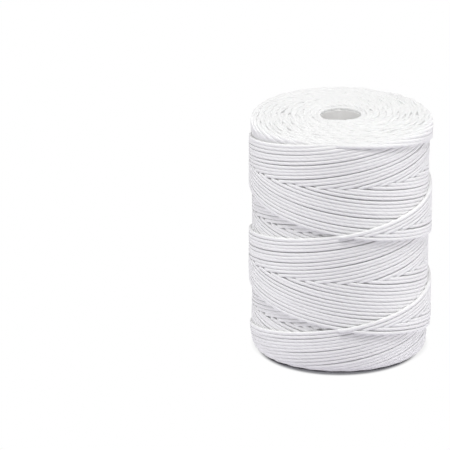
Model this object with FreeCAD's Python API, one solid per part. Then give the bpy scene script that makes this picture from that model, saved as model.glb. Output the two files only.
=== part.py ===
import FreeCAD, Part
import math
import os
from FreeCAD import Vector

# A package of sewing thread on a card tube, standing on end. Millimetres, +Z up along the tube.
# The origin is in the middle of the base, which is flat and rests on the table.

# Package
package_radius = 33.0
package_height = 86.5

# Thread
thread_diameter = 1.2
lay_clearance = 0.08
crossing_gap = 0.45

# Card tube, two plies glued face to face, whose ends lie under the thread's innermost loops
tube_bore_radius = 7.15
inner_ply_thickness = 0.5
outer_ply_thickness = 0.5
tube_recess = 2.0

# Ends of the wound body
crown_drop = 1.5
crown_middle_share = 0.38
land_width = 3.0
lip_rounding = 1.5
lip_rounding_limit = 0.8
top_shoulder_rounding = 2.5
base_taper_height = 14.0
base_taper_inset = 1.7
base_edge_rounding = 1.0

# Outer turns: the thread goes up and down the side, and always round the same way
double_stroke_count = 4
turns_per_stroke = 2.625
spans_per_stroke = 10
reversal_turns = 0.25
top_line_margin = 0.5
bottom_line_margin = 2.2
first_angle = 20.0

# Ends of the outer turns, which dive into the body
end_angle_apart = 30.0
end_bend_tangent = 2.0
end_straight = thread_diameter
seat_clearance = 0.1

# Sizes that follow from the ones above
thread_radius = thread_diameter / 2
level_step = thread_diameter + crossing_gap
body_radius = package_radius - thread_diameter - level_step - lay_clearance
ply_joint_radius = tube_bore_radius + inner_ply_thickness
tube_radius = ply_joint_radius + outer_ply_thickness
tube_top = package_height - tube_recess
shoulder_height = package_height - crown_drop
land_radius = tube_radius + land_width
base_radius = body_radius - base_taper_inset

top_line = shoulder_height - top_shoulder_rounding - top_line_margin
bottom_line = base_edge_rounding + bottom_line_margin
stroke_rise = top_line - bottom_line
rise_per_turn = stroke_rise / (turns_per_stroke - reversal_turns / 2)
reversal_overshoot = rise_per_turn * reversal_turns / 4
sharp_bottom = bottom_line - reversal_overshoot
sharp_top = top_line + reversal_overshoot

Z_AXIS = Vector(0, 0, 1)


def ring(inner_radius, outer_radius, bottom, top):
    """A plain tube wall between two heights."""
    outside = Part.makeCylinder(outer_radius, top - bottom, Vector(0, 0, bottom))
    inside = Part.makeCylinder(inner_radius, top - bottom, Vector(0, 0, bottom))
    return outside.cut(inside)


# The wound body under the outer turns

taper_curve_radius = (base_taper_height**2 + base_taper_inset**2) / (2 * base_taper_inset)


def body_side_radius(height):
    """Radius of the body's side: straight above, and drawn in on an arc towards the base."""
    below = max(0.0, base_taper_height - height)
    return body_radius - taper_curve_radius + math.sqrt(taper_curve_radius**2 - below**2)


def profile_point(radius, height):
    return Vector(radius, 0, height)


def circle_at(solid, radius, height):
    """The solid's circular edge of that radius at that height."""
    for edge in solid.Edges:
        curve = edge.Curve
        if isinstance(curve, Part.Circle) and abs(curve.Radius - radius) < 1e-4:
            if abs(curve.Center.z - height) < 1e-4:
                return edge
    raise RuntimeError(f"no circle of radius {radius} at height {height}")


def wound_body():
    """The thread's inner layers as one turned body, with a lip over each end of the tube."""
    crown_middle_radius = (land_radius + body_radius) / 2
    crown_middle_height = package_height - crown_drop * crown_middle_share
    bore = [
        profile_point(tube_bore_radius, 0),
        profile_point(tube_bore_radius, tube_recess),
        profile_point(tube_radius, tube_recess),
        profile_point(tube_radius, tube_top),
        profile_point(tube_bore_radius, tube_top),
        profile_point(tube_bore_radius, package_height),
    ]
    land_edge = profile_point(land_radius, package_height)
    crown_middle = profile_point(crown_middle_radius, crown_middle_height)
    shoulder = profile_point(body_radius, shoulder_height)
    taper_top = profile_point(body_radius, base_taper_height)
    taper_middle_height = base_taper_height / 2
    taper_middle = profile_point(body_side_radius(taper_middle_height), taper_middle_height)
    base_edge = profile_point(base_radius, 0)
    edges = [Part.makeLine(start, end) for start, end in zip(bore, bore[1:])]
    edges += [
        Part.makeLine(bore[-1], land_edge),
        Part.Arc(land_edge, crown_middle, shoulder).toShape(),
        Part.makeLine(shoulder, taper_top),
        Part.Arc(taper_top, taper_middle, base_edge).toShape(),
        Part.makeLine(base_edge, bore[0]),
    ]
    body = Part.Face(Part.Wire(edges)).revolve(Vector(), Z_AXIS, 360)
    lips = [circle_at(body, tube_bore_radius, 0), circle_at(body, tube_bore_radius, package_height)]
    body = body.makeFillet(min(lip_rounding, lip_rounding_limit * tube_recess), lips)
    body = body.makeFillet(top_shoulder_rounding, [circle_at(body, body_radius, shoulder_height)])
    return body.makeFillet(base_edge_rounding, [circle_at(body, base_radius, 0)])


# The line that the outer turns follow

def line_point(angle, height, level):
    """A point of the thread's middle line. Level 0 lies on the body, and level 1 passes over it."""
    radius = body_side_radius(height) + lay_clearance + thread_radius + level * level_step
    return Vector(radius * math.cos(angle), radius * math.sin(angle), height)


def station(angle, height, level, slope):
    """A point of the line with its direction, where slope is the rise per radian."""
    step = 1e-4
    ahead = line_point(angle + step, height + slope * step, level)
    behind = line_point(angle - step, height - slope * step, level)
    return line_point(angle, height, level), (ahead - behind).normalize()


def stroke_station(start_angle, turns, rising):
    """The station that many turns from a stroke's start. Rising strokes lie under falling ones."""
    start_height = sharp_bottom if rising else sharp_top
    slope = rise_per_turn / (2 * math.pi) * (1 if rising else -1)
    angle = 2 * math.pi * turns
    level = 0 if rising else 1
    return station(start_angle + angle, start_height + slope * angle, level, slope)


def stroke(start_angle, rising):
    """The stations of one run from end to end, without its reversals."""
    margin = reversal_turns / 2
    span = (turns_per_stroke - 2 * margin) / spans_per_stroke
    return [
        stroke_station(start_angle, margin + span * i, rising) for i in range(spans_per_stroke + 1)
    ]


def arc_from_corner(start, corner, end):
    """The arc that leaves start towards the corner and reaches end, both as far from the corner."""
    reach = (start - corner).Length
    half_chord = (end - start).Length / 2
    to_chord = (start + end) * 0.5 - corner
    depth = to_chord.Length
    middle = corner + to_chord * (reach * (reach - half_chord) / depth**2)
    return Part.Arc(start, middle, end).toShape()


def biarc(start, end):
    """Two arcs in line with each other that join two stations along their directions."""
    start_point, start_direction = start
    end_point, end_direction = end
    across = end_point - start_point
    both = start_direction + end_direction
    spread = 2 * (1 - start_direction.dot(end_direction))
    along = across.dot(both)
    root = math.sqrt(along**2 + spread * across.dot(across))
    reach = (root - along) / spread
    first_corner = start_point + start_direction * reach
    second_corner = end_point - end_direction * reach
    joint = (first_corner + second_corner) * 0.5
    first = arc_from_corner(start_point, first_corner, joint)
    return [first, arc_from_corner(joint, second_corner, end_point)]


def dive(station_at, inward):
    """The bend and the straight run between a station and the bottom of the end's seat."""
    point, direction = station_at
    corner = point + direction * end_bend_tangent * (1 if inward else -1)
    outward = Vector(corner.x, corner.y, 0).normalize()
    tangent_point = corner - outward * end_bend_tangent
    seat_point = tangent_point - outward * end_straight
    if inward:
        return [arc_from_corner(point, corner, tangent_point), Part.makeLine(tangent_point, seat_point)]
    return [Part.makeLine(seat_point, tangent_point), arc_from_corner(tangent_point, corner, point)]


def outer_line():
    """All edges of the line, with the edges of its first and last dive."""
    end_turns = end_angle_apart / 2 / 360
    first_start = math.radians(first_angle)
    stroke_angle = 2 * math.pi * turns_per_stroke
    strokes = 2 * double_stroke_count
    stations = []
    for i in range(strokes):
        stations += stroke(first_start + stroke_angle * i, rising=i % 2 == 0)
    last_start = first_start + stroke_angle * (strokes - 1)
    stations[0] = stroke_station(first_start, end_turns, rising=True)
    stations[-1] = stroke_station(last_start, turns_per_stroke - end_turns, rising=False)
    first_dive = dive(stations[0], inward=False)
    last_dive = dive(stations[-1], inward=True)
    edges = list(first_dive)
    for start, end in zip(stations, stations[1:]):
        edges += biarc(start, end)
    return edges + last_dive, first_dive, last_dive


def tube_along(edges, radius):
    """A round tube along edges that follow on from each other."""
    line = Part.Wire(edges)
    start = edges[0].valueAt(edges[0].FirstParameter)
    direction = edges[0].tangentAt(edges[0].FirstParameter)
    section = Part.Wire(Part.makeCircle(radius, start, direction))
    return line.makePipeShell([section], True, False)


# Checks of the line, on points

check_spacing = 0.5


def points_along(edges, spacing):
    """Points of the line, evenly spaced on each edge, with their distance along it, and its length."""
    points = []
    travelled = 0.0
    for edge in edges:
        count = max(2, math.ceil(edge.Length / spacing))
        for i in range(count):
            share = i / count
            parameter = edge.FirstParameter + (edge.LastParameter - edge.FirstParameter) * share
            points.append((edge.valueAt(parameter), travelled + edge.Length * share))
        travelled += edge.Length
    return points, travelled


def least_gap(points, skip):
    """The least gap of the tube to itself, leaving out what is nearer than skip along it."""
    cell = 2 * level_step
    cells = {}
    least = cell
    for point, travelled in points:
        key = tuple(math.floor(c / cell) for c in (point.x, point.y, point.z))
        for x in (-1, 0, 1):
            for y in (-1, 0, 1):
                for z in (-1, 0, 1):
                    for other, along in cells.get((key[0] + x, key[1] + y, key[2] + z), ()):
                        if travelled - along > skip:
                            least = min(least, (point - other).Length)
        cells.setdefault(key, []).append((point, travelled))
    return least - thread_diameter


def least_lift(points):
    """The least gap between the tube and the body's side, over the laid part of the line."""
    laid = [p for p, _ in points if math.hypot(p.x, p.y) > body_side_radius(p.z) + thread_radius]
    return min(math.hypot(p.x, p.y) - body_side_radius(p.z) - thread_radius for p in laid)


def main():
    os.makedirs("parts", exist_ok=True)
    edges, first_dive, last_dive = outer_line()
    points, length = points_along(edges, check_spacing)
    tightest = min(e.Curve.Radius for e in edges if isinstance(e.Curve, Part.Circle))
    turns = tube_along(edges, thread_radius)
    body = wound_body()
    for seat_line in (first_dive, last_dive):
        body = body.cut(tube_along(seat_line, thread_radius + seat_clearance))
    nodes = {
        "tube_inner_ply": ring(tube_bore_radius, ply_joint_radius, tube_recess, tube_top),
        "tube_outer_ply": ring(ply_joint_radius, tube_radius, tube_recess, tube_top),
        "thread_inner_layers": body,
        "thread_outer_turns": turns,
    }
    for name, shape in nodes.items():
        shape.exportStep(f"parts/{name}.step")
        print(name, "valid", shape.isValid(), "solids", len(shape.Solids), "volume", round(shape.Volume, 1))
    section_area = math.pi * thread_radius**2
    print("outer turns: edges", len(edges), "length", round(length, 1), "tightest bend", round(tightest, 2))
    print("outer turns: volume over section times length", round(turns.Volume / (section_area * length), 5))
    print("outer turns: least gap to itself", round(least_gap(points, 4 * thread_diameter), 3))
    print("outer turns: least gap to the body", round(least_lift(points), 3))


main()
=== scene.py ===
import math

import bpy
import numpy as np
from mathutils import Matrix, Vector


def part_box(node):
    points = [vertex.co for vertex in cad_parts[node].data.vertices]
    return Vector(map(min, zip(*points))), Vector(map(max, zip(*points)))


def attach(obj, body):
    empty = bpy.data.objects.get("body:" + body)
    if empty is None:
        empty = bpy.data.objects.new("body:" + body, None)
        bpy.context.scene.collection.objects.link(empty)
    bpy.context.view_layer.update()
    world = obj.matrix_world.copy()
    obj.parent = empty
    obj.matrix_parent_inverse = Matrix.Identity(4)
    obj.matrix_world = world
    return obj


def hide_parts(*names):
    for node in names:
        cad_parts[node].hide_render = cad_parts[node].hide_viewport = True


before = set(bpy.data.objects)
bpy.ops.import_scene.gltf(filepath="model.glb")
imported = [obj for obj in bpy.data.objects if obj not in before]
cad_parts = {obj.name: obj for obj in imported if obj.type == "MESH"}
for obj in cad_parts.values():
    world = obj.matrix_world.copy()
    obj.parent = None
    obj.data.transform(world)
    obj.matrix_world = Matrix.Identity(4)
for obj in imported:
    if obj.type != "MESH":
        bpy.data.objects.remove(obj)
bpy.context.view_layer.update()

# The package of thread is worked out in millimetres. Meshes, the camera and the lamps are in metres.
MM = 0.001

# Sizes from the frame
PACKAGE_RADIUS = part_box("thread_outer_turns")[1].x / MM
PACKAGE_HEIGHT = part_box("thread_inner_layers")[1].z / MM
TUBE_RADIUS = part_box("tube_outer_ply")[1].x / MM
TUBE_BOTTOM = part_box("tube_outer_ply")[0].z / MM
TUBE_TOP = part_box("tube_outer_ply")[1].z / MM

# Thread, pressed a little square, and sunk a little into the layer below where it crosses it
THREAD_HEIGHT = 1.2
THREAD_WIDTH = 1.19
LAYER_STEP = 1.17
SECTION_SIDES = 12
SECTION_SQUARENESS = 5.0
RING_SPACING = 0.9
CLIMB_SHARE = 0.65

# Winding: a stroke takes five half turns, and each double stroke starts a little short of the last one
HALF_TURNS = 5
STROKES_PER_COVER = 52.8
COVER_SHARE = 2 / STROKES_PER_COVER
START_SHIFT = 2 * math.pi * COVER_SHARE
HALF_TURN = math.pi - START_SHIFT / (2 * HALF_TURNS)
STROKE_ANGLE = HALF_TURNS * HALF_TURN
NEWEST_START = math.radians(79)
SHOWN_STROKES = 56
SIDE_PIECES = 4

# The thread's free end, past the last turning point, which is tucked under the turns beside it
LAST_APEX = -1
END_HALF_TURNS = 0.97
TUCK_LENGTH = 6.0
TUCK_DEPTH = 1.0

# Unevenness of the winding
SIDE_WANDER = 0.2
SIDE_WANDER_LENGTH = 45.0
SIDE_WANDER_START = 3.0
LIFT_WANDER = 0.05
LIFT_WANDER_LENGTH = 20.0
APEX_UNEVEN = 0.06
APEX_TURN_UNEVEN = 0.05
SUNKEN_SHARE = 0.07
SUNKEN_DEPTH = 0.55
SINK_REACH = 9.0
APEX_SEED = 4
SIDE_SEED = 10
TOP_SEED = 20
BASE_SEED = 21

# Ends of the package
CROWN_DROP = 1.5
CROWN_LAND_RADIUS = 11.0
CROWN_POWER = 1.4
APEX_ROUNDING = 8.0
LAST_TURN_ROUNDING = 25.0
TOP_EDGE_ROUNDING = 1.9
BASE_EDGE_ROUNDING = 1.7
EDGE_REACH = 0.92
MOUTH_RADIUS = 7.08
MOUTH_DEPTH = 0.9
MOUTH_REACH = 4.0
MOUTH_COVERS = 0.8
BASE_TAPER_HEIGHT = 14.0
BASE_TAPER_INSET = 2.1
END_LOOP_SPAN = 0.16
BUILD_UP_SHARE = 0.45
BUILD_UP_LENGTH = 16.0
BUILD_UP_EDGE = 0.08

# The body under the shown turns
BODY_DEPTH = 3.4
BODY_END_DEPTH = 1.3
BODY_TOP_EDGE = 1.0
BODY_CLEARANCE = 0.05
BODY_TAPER_POINTS = 8
BODY_TOP_POINTS = 12
BODY_SEGMENTS = 128


def smoothstep(x):
    x = np.clip(x, 0, 1)
    return x * x * (3 - 2 * x)


def wander(rng, places, spacing, amount):
    """A smooth random value along places, from random values at even spacing."""
    first = math.floor(places.min() / spacing)
    last = math.ceil(places.max() / spacing) + 1
    values = rng.uniform(-amount, amount, last - first + 1)
    steps = places / spacing - first
    index = np.floor(steps).astype(int)
    blend = smoothstep(steps - index)
    return values[index] * (1 - blend) + values[index + 1] * blend


# The winding. Strokes are counted from the newest backwards: stroke -1 falls, and is only begun.
# Even turning points are at the base. Levels are in layer steps, and the newest turns lie at about 0.

def crown_height(radius):
    """Height of the top face at a radius."""
    out = (radius - CROWN_LAND_RADIUS) / (PACKAGE_RADIUS - CROWN_LAND_RADIUS)
    return PACKAGE_HEIGHT - CROWN_DROP * np.clip(out, 0, None) ** CROWN_POWER


def mouth_shift(radius):
    """How far the rounded rim of the hole draws a turning point in, by the radius of the line there."""
    left = np.clip(1 - (radius - MOUTH_RADIUS - THREAD_HEIGHT / 2) / MOUTH_REACH, 0, 1)
    return MOUTH_DEPTH * (1 - np.sqrt(1 - left**2))


def edge_shift(depth, rounding):
    """How far a rounded edge draws the thread in, by its depth below the end's turning points."""
    left = EDGE_REACH * np.clip(rounding - depth, 0, rounding)
    return rounding - np.sqrt(rounding**2 - left**2)


def base_shift(height):
    """How far the side is drawn in above the base."""
    return BASE_TAPER_INSET * np.clip(1 - height / BASE_TAPER_HEIGHT, 0, 1) ** 2


def apex_radius(apex):
    """Radius of the line at a turning point."""
    wound = PACKAGE_RADIUS - THREAD_HEIGHT / 2 + LAYER_STEP * (apex * COVER_SHARE - 0.5)
    return np.maximum(wound, MOUTH_RADIUS + THREAD_HEIGHT / 2)


def apex_height(apex):
    """Height of the line at a turning point, without its unevenness."""
    rim = mouth_shift(apex_radius(apex))
    top = crown_height(apex_radius(apex)) - THREAD_HEIGHT / 2
    return np.where(apex % 2 == 0, THREAD_HEIGHT / 2 + rim, top - rim)


# Covers from the rim of the hole to the surface, each two layers thick, with some more for the lip over
# the tube's ends, and how far each turning point is sunk in, from one a little past the thread's end back
# to the oldest
COVERS = (PACKAGE_RADIUS - MOUTH_RADIUS - THREAD_HEIGHT) / (2 * LAYER_STEP) + MOUTH_COVERS
OLDEST_STROKE = -2 * round(COVERS * STROKES_PER_COVER / 2)
FIRST_DRAWN_APEX = 2
apex_chances = np.random.default_rng(APEX_SEED).uniform(0, 1, (FIRST_DRAWN_APEX + 1 - OLDEST_STROKE, 2))
apex_sink = APEX_UNEVEN * apex_chances[:, 0] + SUNKEN_DEPTH * (apex_chances[:, 1] < SUNKEN_SHARE)


def side_level(rising, double, share):
    """Level on the side, where a stroke sinks slowly past a cover's crossings and then climbs quickly."""
    climbed = smoothstep((share / COVER_SHARE - 0.5) / CLIMB_SHARE + 0.5)
    rise = np.where(share < COVER_SHARE, (1 - COVER_SHARE) * climbed - 1, -share)
    fall = np.where(share < COVER_SHARE, (COVER_SHARE - 1) * climbed, share - 1)
    return 2 * double * COVER_SHARE + np.where(rising, rise, fall)


def apex_level(apex, from_apex):
    """Level at a turning point, where the thread climbs over what it has just crossed."""
    at_base = apex % 2 == 0
    before = np.where(at_base, apex * COVER_SHARE - 1 + COVER_SHARE, (apex + 1) * COVER_SHARE - 1)
    after = np.where(at_base, (apex + 2) * COVER_SHARE - COVER_SHARE, (apex + 1) * COVER_SHARE)
    blend = smoothstep((from_apex / COVER_SHARE + 1) / 2)
    return before + (after - before) * blend


def stroke_height(turned, stroke, done, apex):
    """Height of the line, straight along the stroke with rounded turning points."""
    rounding = np.where(turned > LAST_APEX * STROKE_ANGLE, LAST_TURN_ROUNDING, APEX_ROUNDING)
    rounding = rounding / (math.pi * apex_radius(apex))
    middle = HALF_TURNS / 2

    def bow(x):
        return np.sqrt(x**2 + rounding**2) - rounding

    start, end = apex_height(stroke), apex_height(stroke + 1)
    half = (end - start) / 2
    first_half = start + half * bow(done) / bow(middle)
    second_half = end - half * bow(HALF_TURNS - done) / bow(middle)
    return np.where(done < middle, first_half, second_half)


def end_build_up(rising, double, share, depth):
    """How far the layers near an end are built up, in layer steps, to a more even roundness."""
    age = -double * COVER_SHARE
    own = age - np.floor(age)
    other = np.where(rising, own + share, own - share)
    other = other - np.floor(other)
    newer, older = np.minimum(own, other), np.maximum(own, other)
    build_up = 2 * BUILD_UP_SHARE * newer * smoothstep((1 - older) / BUILD_UP_EDGE)
    return build_up * smoothstep(1 - depth / BUILD_UP_LENGTH)


def winding_points(turned, rng):
    """Points of the line by the angle turned, which would be 0 at the end of stroke -1."""
    stroke = np.floor(turned / STROKE_ANGLE)
    done = turned / HALF_TURN - HALF_TURNS * stroke
    rising = stroke % 2 == 0
    double = np.floor(stroke / 2) + 1
    apex = np.round(turned / STROKE_ANGLE)
    from_apex = turned / HALF_TURN - apex * HALF_TURNS
    at_base = apex % 2 == 0

    # Share of the way up between two crossings with the other stroke of its double stroke
    up = np.where(rising, done, HALF_TURNS - done)
    rings_up = (up - HALF_TURNS) * HALF_TURN / math.pi
    share = rings_up - np.floor(rings_up)

    # Height
    height = stroke_height(turned, stroke, done, apex)
    depth = np.abs(apex_height(apex) - height)
    sink = apex_sink[(FIRST_DRAWN_APEX - apex).astype(int)] * smoothstep(1 - depth / SINK_REACH)
    height = height + np.where(at_base, sink, -sink)
    along = turned * PACKAGE_RADIUS
    side_wander = wander(rng, along, SIDE_WANDER_LENGTH, SIDE_WANDER)
    height = height + side_wander * smoothstep(depth / SIDE_WANDER_START)

    # Radius, with the edges of the package rounded
    level = side_level(rising, double, share)
    level = np.where(np.abs(from_apex) < COVER_SHARE, apex_level(apex, from_apex), level)
    build_up = end_build_up(rising, double, share, depth)
    radius = PACKAGE_RADIUS - THREAD_HEIGHT / 2 + LAYER_STEP * (level - 2 * COVER_SHARE + build_up)
    outness = (radius / PACKAGE_RADIUS) ** 2
    edge = np.where(at_base, BASE_EDGE_ROUNDING, TOP_EDGE_ROUNDING)
    radius = radius - outness * (edge_shift(depth, edge) + base_shift(height))
    radius = radius + wander(rng, along, LIFT_WANDER_LENGTH, LIFT_WANDER)

    # The tube's wall, and the hole's rim past its ends
    past_tube = np.maximum(height - TUBE_TOP, TUBE_BOTTOM - height)
    over_end = smoothstep(past_tube / (THREAD_HEIGHT / 2))
    radius = np.maximum(radius, TUBE_RADIUS + THREAD_HEIGHT / 2 - over_end * (TUBE_RADIUS - MOUTH_RADIUS))
    angle = NEWEST_START + turned
    return np.stack([radius * np.cos(angle), radius * np.sin(angle), height], -1)


def thread_line(start, end, rng):
    """The line between two angles turned, evenly spaced."""
    count = int((end - start) * PACKAGE_RADIUS / RING_SPACING)
    return winding_points(np.linspace(start, end, count), rng)


def distance_along(line):
    steps = np.linalg.norm(np.diff(line, axis=0), axis=1)
    return np.concatenate([[0], np.cumsum(steps)])


def tuck_in(line):
    """The line with its end drawn in under its neighbours."""
    distance = distance_along(line)
    left = distance[-1] - distance
    inward = TUCK_DEPTH * smoothstep(1 - left / TUCK_LENGTH)
    radius = np.linalg.norm(line[:, :2], axis=1)
    scale = 1 - inward / radius
    return line * np.stack([scale, scale, np.ones(len(line))], -1)


# Meshes

ALONG_MAP = "along"


def unit(vectors):
    return vectors / np.linalg.norm(vectors, axis=1, keepdims=True)


def thread_section():
    """Points round the thread's section from its inner side, as their places across and out."""
    around = (np.arange(SECTION_SIDES) / SECTION_SIDES - 0.25) * 2 * math.pi
    power = 2 / SECTION_SQUARENESS
    across = np.sign(np.cos(around)) * np.abs(np.cos(around)) ** power * THREAD_WIDTH / 2
    out = np.sign(np.sin(around)) * np.abs(np.sin(around)) ** power * THREAD_HEIGHT / 2
    return across, out


def thread_rings(line):
    """Rings of points round a line."""
    along = unit(np.gradient(line, axis=0))
    across = unit(np.cross(along, line * [1, 1, 0]))
    out = np.cross(across, along)
    across_by, out_by = thread_section()
    return line[:, None] + across[:, None] * across_by[:, None] + out[:, None] * out_by[:, None]


def tube_faces(count):
    """Quads of a closed tube of so many rings, and its two end faces."""
    sides = SECTION_SIDES
    here = np.arange((count - 1) * sides)
    beside = here - here % sides + (here + 1) % sides
    quads = np.stack([here, here + sides, beside + sides, beside], -1)
    first_end = np.arange(sides)
    last_end = count * sides - 1 - np.arange(sides)
    return quads, np.stack([first_end, last_end])


def tube_map(distance):
    """UV of the quads' corners: millimetres along the thread, and the share of the way round it."""
    sides = SECTION_SIDES
    ring = np.repeat(np.arange(len(distance) - 1), sides)
    side = np.tile(np.arange(sides), len(distance) - 1) / sides
    u = np.stack([distance[ring], distance[ring + 1], distance[ring + 1], distance[ring]], -1)
    v = np.stack([side, side, side + 1 / sides, side + 1 / sides], -1)
    return np.stack([u, v], -1).reshape(-1, 2)


def add_piece(name, vertices, faces, material, node):
    """A mesh object in the frame that stands for a node. Gives back its mesh."""
    mesh = bpy.data.meshes.new(name)
    mesh.from_pydata(vertices * MM, [], faces)
    mesh.shade_smooth()
    mesh.materials.append(material)
    piece = bpy.data.objects.new(name, mesh)
    bpy.context.scene.collection.objects.link(piece)
    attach(piece, "root")
    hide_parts(node)
    return mesh


def add_thread(name, stretches, material, node):
    """One object from stretches of thread, each as its rings and their distance along the thread."""
    vertices, quads, ends, corners, count = [], [], [], [], 0
    for rings, distance in stretches:
        sides, caps = tube_faces(len(rings))
        vertices.append(rings.reshape(-1, 3))
        quads.append(sides + count)
        ends.append(caps + count)
        corners.append(tube_map(distance))
        count += len(rings) * SECTION_SIDES
    faces = np.concatenate(quads).tolist() + np.concatenate(ends).tolist()
    mesh = add_piece(name, np.concatenate(vertices), faces, material, node)
    cap_corners = np.zeros((2 * len(stretches) * SECTION_SIDES, 2))
    layer = mesh.uv_layers.new(name=ALONG_MAP)
    layer.uv.foreach_set("vector", np.concatenate(corners + [cap_corners]).astype(np.float32).ravel())


def add_turned(name, profile, material, node):
    """A closed solid turned about the axis, from points of radius and height in order round its section."""
    angles = np.arange(BODY_SEGMENTS) * 2 * math.pi / BODY_SEGMENTS
    radius, height = np.array(profile).T
    around = np.stack([np.cos(angles), np.sin(angles)], -1)
    flat = around[:, None] * radius[:, None]
    level = np.broadcast_to(height[:, None], flat.shape[:2] + (1,))
    points = len(profile)
    here = np.arange(BODY_SEGMENTS * points)
    above = here - here % points + (here + 1) % points
    quads = np.stack([here, here + points, above + points, above], -1) % (BODY_SEGMENTS * points)
    vertices = np.concatenate([flat, level], -1).reshape(-1, 3)
    add_piece(name, vertices, quads.tolist(), material, node)


# Materials

# Most values of a noise lie between these two
NOISE_LOW = 0.3
NOISE_HIGH = 0.7


class Shading:
    """Short calls for the nodes of a material or a world."""

    def __init__(self, owner):
        owner.use_nodes = True
        self.owner = owner
        self.nodes = owner.node_tree.nodes
        self.links = owner.node_tree.links

    def set(self, socket, value):
        """A socket's value, from a node's output or a constant."""
        if isinstance(value, bpy.types.NodeSocket):
            self.links.new(value, socket)
        else:
            socket.default_value = value

    def math(self, operation, first, second=0.0):
        node = self.nodes.new("ShaderNodeMath")
        node.operation = operation
        self.set(node.inputs[0], first)
        self.set(node.inputs[1], second)
        return node.outputs[0]

    def split(self, vector):
        node = self.nodes.new("ShaderNodeSeparateXYZ")
        self.links.new(vector, node.inputs[0])
        return node.outputs

    def join(self, x, y, z):
        node = self.nodes.new("ShaderNodeCombineXYZ")
        for socket, value in zip(node.inputs, (x, y, z)):
            self.set(socket, value)
        return node.outputs[0]

    def noise(self, vector, scale, detail=2.0):
        node = self.nodes.new("ShaderNodeTexNoise")
        node.inputs["Scale"].default_value = scale
        node.inputs["Detail"].default_value = detail
        self.links.new(vector, node.inputs["Vector"])
        return node.outputs["Fac"]

    def spread(self, value, low, high, to_low, to_high, interpolation="LINEAR"):
        """A value moved from one range to another, and held within it."""
        node = self.nodes.new("ShaderNodeMapRange")
        node.interpolation_type = interpolation
        for name, number in (("From Min", low), ("From Max", high), ("To Min", to_low), ("To Max", to_high)):
            node.inputs[name].default_value = number
        self.links.new(value, node.inputs["Value"])
        return node.outputs["Result"]

    def mix(self, factor, first, second):
        """A colour between two, each a colour or another node's colour."""
        node = self.nodes.new("ShaderNodeMix")
        node.data_type = "RGBA"
        self.set(node.inputs["Factor"], factor)
        for name, color in (("A", first), ("B", second)):
            socket = next(socket for socket in node.inputs if socket.name == name and socket.type == "RGBA")
            self.set(socket, (*color, 1) if isinstance(color, tuple) else color)
        return next(output for output in node.outputs if output.type == "RGBA")

    def surface(self, name):
        """A socket of the material's shader."""
        return self.nodes["Principled BSDF"].inputs[name]

    def bump(self, height):
        """Relief in millimetres."""
        node = self.nodes.new("ShaderNodeBump")
        node.inputs["Strength"].default_value = 1.0
        node.inputs["Distance"].default_value = MM
        self.links.new(height, node.inputs["Height"])
        self.links.new(node.outputs[0], self.surface("Normal"))

    def roughen(self, noise, middle, variation):
        """Roughness that varies with a noise round a middle value, which is also set on the socket itself."""
        self.set(self.surface("Roughness"), middle)
        varied = self.spread(noise, NOISE_LOW, NOISE_HIGH, middle - variation, middle + variation)
        self.set(self.surface("Roughness"), varied)


# Thread: depths and pitch in millimetres, and the fibres' noise in steps per millimetre and per turn
THREAD_COLOR = (0.83, 0.83, 0.83)
# Painted shade: the colour in the grooves between the plies, darker than the thread's own colour
THREAD_PLY_SHADE_COLOR = (0.75, 0.75, 0.75)
THREAD_PATCH_COLOR = (0.79, 0.785, 0.78)
THREAD_PATCH_SHARE = 0.35
THREAD_PATCH_SCALE = 90.0
THREAD_ROUGHNESS = 0.9
THREAD_ROUGHNESS_VARIATION = 0.06
THREAD_SHEEN = 0.15
THREAD_SHEEN_ROUGHNESS = 0.5
THREAD_SPECULAR = 0.3
PLIES = 3
PLY_PITCH = 3.0
PLY_SQUARENESS = 4.0
# How far out from the grooves between the plies the painted shade reaches, as a share of a ply's bulge
PLY_SHADE_SHARE = 0.6
PLY_DEPTH = 0.04
FIBRES_ALONG = 0.7
FIBRES_AROUND = 24.0
FIBRE_DEPTH = 0.02
FUZZ_SCALE = 6000.0
FUZZ_DEPTH = 0.012


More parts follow.
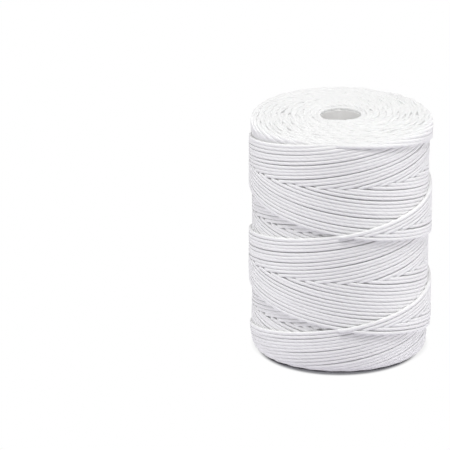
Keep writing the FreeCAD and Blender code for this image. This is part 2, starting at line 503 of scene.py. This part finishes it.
def thread_material():
    """Matt white cotton cord: three twisted plies with fine fibres along them, and painted shade in the
    grooves between the plies.
    """
    shading = Shading(bpy.data.materials.new("thread_cotton"))
    shading.surface("Sheen Weight").default_value = THREAD_SHEEN
    shading.surface("Sheen Roughness").default_value = THREAD_SHEEN_ROUGHNESS
    shading.surface("Specular IOR Level").default_value = THREAD_SPECULAR
    place = shading.nodes.new("ShaderNodeUVMap")
    place.uv_map = ALONG_MAP
    along, around, _ = shading.split(place.outputs[0])

    # Plies
    twist = shading.math("DIVIDE", along, PLY_PITCH)
    turned = shading.math("ADD", shading.math("MULTIPLY", around, PLIES), twist)
    across = shading.math("MULTIPLY", shading.math("SUBTRACT", shading.math("FRACT", turned), 0.5), 2.0)
    fallen = shading.math("POWER", shading.math("ABSOLUTE", across), PLY_SQUARENESS)
    ply = shading.math("SUBTRACT", 1.0, fallen)

    # Fibres
    along_fibres = shading.math("MULTIPLY", along, FIBRES_ALONG)
    around_fibres = shading.math("MULTIPLY", around, FIBRES_AROUND)
    fibre = shading.noise(shading.join(along_fibres, around_fibres, turned), 1.0, detail=3.0)
    object_place = shading.nodes.new("ShaderNodeTexCoord").outputs["Object"]
    fuzz = shading.noise(object_place, FUZZ_SCALE)
    relief = shading.math("MULTIPLY", ply, PLY_DEPTH)
    relief = shading.math("ADD", relief, shading.math("MULTIPLY", fibre, FIBRE_DEPTH))
    relief = shading.math("ADD", relief, shading.math("MULTIPLY", fuzz, FUZZ_DEPTH))
    shading.bump(relief)

    # Colour, with painted shade in the grooves between the plies, and roughness
    # Painted shade: the colour darkens towards the grooves between the plies
    color = shading.mix(shading.spread(ply, 0.0, PLY_SHADE_SHARE, 0.0, 1.0), THREAD_PLY_SHADE_COLOR, THREAD_COLOR)
    patches = shading.noise(object_place, THREAD_PATCH_SCALE)
    patches = shading.spread(patches, NOISE_LOW, NOISE_HIGH, 0.0, THREAD_PATCH_SHARE)
    color = shading.mix(shading.math("MULTIPLY", patches, fibre), color, THREAD_PATCH_COLOR)
    shading.set(shading.surface("Base Color"), color)
    shading.roughen(fibre, THREAD_ROUGHNESS, THREAD_ROUGHNESS_VARIATION)
    return shading.owner


# Paper: depths, and the seam's pitch and width, in millimetres
PAPER_COLOR = (0.93, 0.925, 0.92)
PAPER_CLOUD_COLOR = (0.89, 0.88, 0.86)
PAPER_CLOUD_SHARE = 0.25
PAPER_CLOUD_SCALE = 160.0
PAPER_FIBRE_SCALE = 1400.0
PAPER_FIBRE_DEPTH = 0.03
PAPER_ROUGHNESS = 0.8
PAPER_ROUGHNESS_VARIATION = 0.08
SEAM_COLOR = (0.62, 0.60, 0.58)
SEAM_PITCH = 24.0
SEAM_WIDTH = 0.5
SEAM_DEPTH = 0.08


def paper_material(name, seam_turn):
    """Smooth white paper, wound in a spiral with a fine seam where its edges meet."""
    shading = Shading(bpy.data.materials.new(name))
    place = shading.nodes.new("ShaderNodeTexCoord").outputs["Object"]
    x, y, z = shading.split(place)
    turn = shading.math("DIVIDE", shading.math("ARCTAN2", y, x), 2 * math.pi)
    climb = shading.math("DIVIDE", z, SEAM_PITCH * MM)
    spiral = shading.math("FRACT", shading.math("ADD", shading.math("ADD", turn, climb), seam_turn))
    off_seam = shading.math("ABSOLUTE", shading.math("SUBTRACT", spiral, 0.5))
    from_seam = shading.math("MULTIPLY", off_seam, SEAM_PITCH)
    on_strip = shading.spread(from_seam, 0.0, SEAM_WIDTH / 2, 0.0, 1.0)
    fibre = shading.noise(place, PAPER_FIBRE_SCALE, detail=4.0)
    strip_relief = shading.math("MULTIPLY", on_strip, SEAM_DEPTH)
    shading.bump(shading.math("ADD", strip_relief, shading.math("MULTIPLY", fibre, PAPER_FIBRE_DEPTH)))
    clouds = shading.noise(place, PAPER_CLOUD_SCALE)
    clouds = shading.spread(clouds, NOISE_LOW, NOISE_HIGH, 0.0, PAPER_CLOUD_SHARE)
    color = shading.mix(clouds, shading.mix(on_strip, SEAM_COLOR, PAPER_COLOR), PAPER_CLOUD_COLOR)
    shading.set(shading.surface("Base Color"), color)
    shading.roughen(fibre, PAPER_ROUGHNESS, PAPER_ROUGHNESS_VARIATION)
    return shading.owner


# The thread's pieces

def add_outer_winding(material):
    """The turns that show on the side, as lengths of the one thread."""
    first = -(SHOWN_STROKES + 1) * STROKE_ANGLE
    last = LAST_APEX * STROKE_ANGLE + END_HALF_TURNS * HALF_TURN
    line = tuck_in(thread_line(first, last, np.random.default_rng(SIDE_SEED)))
    rings, distance = thread_rings(line), distance_along(line)
    bounds = np.linspace(0, len(line) - 1, SIDE_PIECES + 1).astype(int)
    for number, (start, end) in enumerate(zip(bounds, bounds[1:]), 1):
        stretch = (rings[start : end + 1], distance[start : end + 1])
        add_thread(f"outer_winding_{number}", [stretch], material, "thread_outer_turns")


def add_end_loops(name, base, seed, material):
    """The turning points of the older strokes, which show on an end of the package."""
    rng = np.random.default_rng(seed)
    reach = END_LOOP_SPAN * math.pi
    stretches = []
    for apex in range(OLDEST_STROKE + 1, -SHOWN_STROKES):
        if (apex % 2 == 0) == base:
            middle = apex * STROKE_ANGLE
            line = thread_line(middle - reach, middle + reach, rng)
            turn = APEX_TURN_UNEVEN * rng.uniform(-1, 1)
            cos, sin = math.cos(turn), math.sin(turn)
            line = line @ np.array([[cos, sin, 0], [-sin, cos, 0], [0, 0, 1]])
            stretches.append((thread_rings(line), distance_along(line)))
    add_thread(name, stretches, material, "thread_inner_layers")


def add_inner_layers(material):
    """A plain body under all the turns that show."""
    side = PACKAGE_RADIUS - BODY_DEPTH
    bore = TUBE_RADIUS + BODY_CLEARANCE
    profile = [(bore, BODY_END_DEPTH)]
    for height in np.linspace(BODY_END_DEPTH, BASE_TAPER_HEIGHT, BODY_TAPER_POINTS):
        inset = base_shift(height) + edge_shift(height, BASE_EDGE_ROUNDING)
        profile.append((side - inset, height))
    for point, radius in enumerate(np.linspace(side, bore, BODY_TOP_POINTS)):
        drop = BODY_END_DEPTH + (BODY_TOP_EDGE if point == 0 else 0)
        profile.append((radius, crown_height(radius) - drop))
    add_turned("inner_layers", profile[::-1], material, "thread_inner_layers")


cotton = thread_material()
add_outer_winding(cotton)
add_end_loops("base_end_loops", True, BASE_SEED, cotton)
add_end_loops("top_end_loops", False, TOP_SEED, cotton)
add_inner_layers(cotton)

for name, seam_turn in (("tube_inner_ply", 0.0), ("tube_outer_ply", 0.5)):
    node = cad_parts[name]
    node.data.materials.clear()
    node.data.materials.append(paper_material(name, seam_turn))


# Camera, at the photograph's place: it looks along +Y and down, with the package right of the middle
IMAGE_SIZE = 450
SENSOR_WIDTH = 36
FIELD_WIDTH = 0.1588
CAMERA_DISTANCE = 2.4
CAMERA_ELEVATION = math.radians(20.0)
AXIS_RIGHT_OF_MIDDLE = 115.2
PACKAGE_BELOW_MIDDLE = 2.5


def add_camera():
    pixel = FIELD_WIDTH / IMAGE_SIZE
    forward = Vector((0, math.cos(CAMERA_ELEVATION), -math.sin(CAMERA_ELEVATION)))
    upward = Vector((0, math.sin(CAMERA_ELEVATION), math.cos(CAMERA_ELEVATION)))
    middle = Vector((-AXIS_RIGHT_OF_MIDDLE * pixel, 0, PACKAGE_HEIGHT * MM / 2))
    aim = middle + upward * PACKAGE_BELOW_MIDDLE * pixel
    data = bpy.data.cameras.new("camera")
    data.lens = SENSOR_WIDTH * CAMERA_DISTANCE / FIELD_WIDTH
    data.sensor_width = SENSOR_WIDTH
    camera = bpy.data.objects.new("camera", data)
    camera.location = aim - forward * CAMERA_DISTANCE
    camera.rotation_mode = "QUATERNION"
    camera.rotation_quaternion = forward.to_track_quat("-Z", "Y")
    bpy.context.scene.collection.objects.link(camera)
    bpy.context.scene.camera = camera


# Floor, with the package's shadow kept close to it and painted there: inside a disc and a ring at a fixed
# place the camera sees a dark grey floor, lit by the lamps, and past them plain white
FLOOR_REACH = 4.0
FLOOR_COLOR = (0.81, 0.785, 0.855)
# Painted shadow: the floor's colour as the camera sees it near the package. The light that the floor throws
# back keeps the pale floor colour.
PAINTED_SHADOW_COLOR = (0.19, 0.19, 0.2)
SHADOW_LEFT = 0.0005
SHADOW_FORWARD = 0.0047
SHADOW_START = 0.0266
SHADOW_END = 0.0290
# A faint painted shade in a ring round the package's foot
CONTACT_START = 0.0297
CONTACT_END = 0.0320
CONTACT_LEVEL = 0.85


def radial_fade(shading, place, center, start, end, least):
    """A value that rises to 1 between two distances from a point of the floor."""
    away = shading.nodes.new("ShaderNodeVectorMath")
    away.operation = "DISTANCE"
    away.inputs[1].default_value = (*center, 0)
    shading.links.new(place, away.inputs[0])
    return shading.spread(away.outputs["Value"], start, end, least, 1.0, "SMOOTHSTEP")


def floor_material():
    """Matt and pale. The camera sees it as white, apart from a painted shadow close to the package: a dark
    grey colour, in which the lamps' own shadow also shows.
    """
    shading = Shading(bpy.data.materials.new("floor"))
    nodes, links = shading.nodes, shading.links
    nodes.remove(nodes["Principled BSDF"])
    seen = nodes.new("ShaderNodeLightPath").outputs["Is Camera Ray"]
    pale = nodes.new("ShaderNodeBsdfDiffuse")
    links.new(shading.mix(seen, FLOOR_COLOR, PAINTED_SHADOW_COLOR), pale.inputs["Color"])
    glow = nodes.new("ShaderNodeEmission")
    glow.inputs["Strength"].default_value = 1.0
    place = nodes.new("ShaderNodeTexCoord").outputs["Object"]
    # The painted shadow's disc sits a little forward of the axis and a little left of it
    shadow_center = (-SHADOW_LEFT, -SHADOW_FORWARD)
    past_painted_shadow = radial_fade(shading, place, shadow_center, SHADOW_START, SHADOW_END, 0.0)
    past_painted_contact = radial_fade(shading, place, (0, 0), CONTACT_START, CONTACT_END, CONTACT_LEVEL)
    clear = shading.math("MULTIPLY", past_painted_shadow, past_painted_contact)
    mixer = nodes.new("ShaderNodeMixShader")
    links.new(shading.math("MULTIPLY", clear, seen), mixer.inputs[0])
    links.new(pale.outputs[0], mixer.inputs[1])
    links.new(glow.outputs[0], mixer.inputs[2])
    links.new(mixer.outputs[0], nodes["Material Output"].inputs[0])
    return shading.owner


def add_floor():
    reach = FLOOR_REACH
    mesh = bpy.data.meshes.new("floor")
    corners = [(-reach, -reach, 0), (reach, -reach, 0), (reach, reach, 0), (-reach, reach, 0)]
    mesh.from_pydata(corners, [], [(0, 1, 2, 3)])
    mesh.materials.append(floor_material())
    floor = bpy.data.objects.new("floor", mesh)
    bpy.context.scene.collection.objects.link(floor)


# Light
WORLD_STRENGTH = 0.33
LAMP_TARGET = (0, 0, 0.045)
LAMP_SIZE = 0.4
TOP_LAMP_PLACE = (0, -0.36, 0.91)
TOP_LAMP_POWER = 6.9
SIDE_LAMP_AWAY = 0.8
SIDE_LAMP_BACK = 0.08
SIDE_LAMP_HEIGHT = 0.15
LEFT_LAMP_POWER = 2.3
RIGHT_LAMP_POWER = 2.8


def add_world():
    """An even white room, which the camera sees as plain white."""
    shading = Shading(bpy.data.worlds.new("world"))
    room = shading.nodes["Background"]
    room.inputs["Color"].default_value = (1, 1, 1, 1)
    seen = shading.nodes.new("ShaderNodeLightPath").outputs["Is Camera Ray"]
    strength = shading.spread(seen, 0.0, 1.0, WORLD_STRENGTH, 1.0)
    shading.set(room.inputs["Strength"], strength)
    bpy.context.scene.world = shading.owner


def add_area_lamp(name, place, power):
    data = bpy.data.lights.new(name, "AREA")
    data.size = LAMP_SIZE
    data.energy = power
    lamp = bpy.data.objects.new(name, data)
    lamp.location = place
    lamp.rotation_mode = "QUATERNION"
    lamp.rotation_quaternion = (Vector(LAMP_TARGET) - Vector(place)).to_track_quat("-Z", "Y")
    bpy.context.scene.collection.objects.link(lamp)


add_camera()
add_floor()
add_world()
add_area_lamp("top_lamp", TOP_LAMP_PLACE, TOP_LAMP_POWER)
add_area_lamp("left_lamp", (-SIDE_LAMP_AWAY, SIDE_LAMP_BACK, SIDE_LAMP_HEIGHT), LEFT_LAMP_POWER)
add_area_lamp("right_lamp", (SIDE_LAMP_AWAY, SIDE_LAMP_BACK, SIDE_LAMP_HEIGHT), RIGHT_LAMP_POWER)
bpy.context.scene.view_settings.view_transform = "Standard"
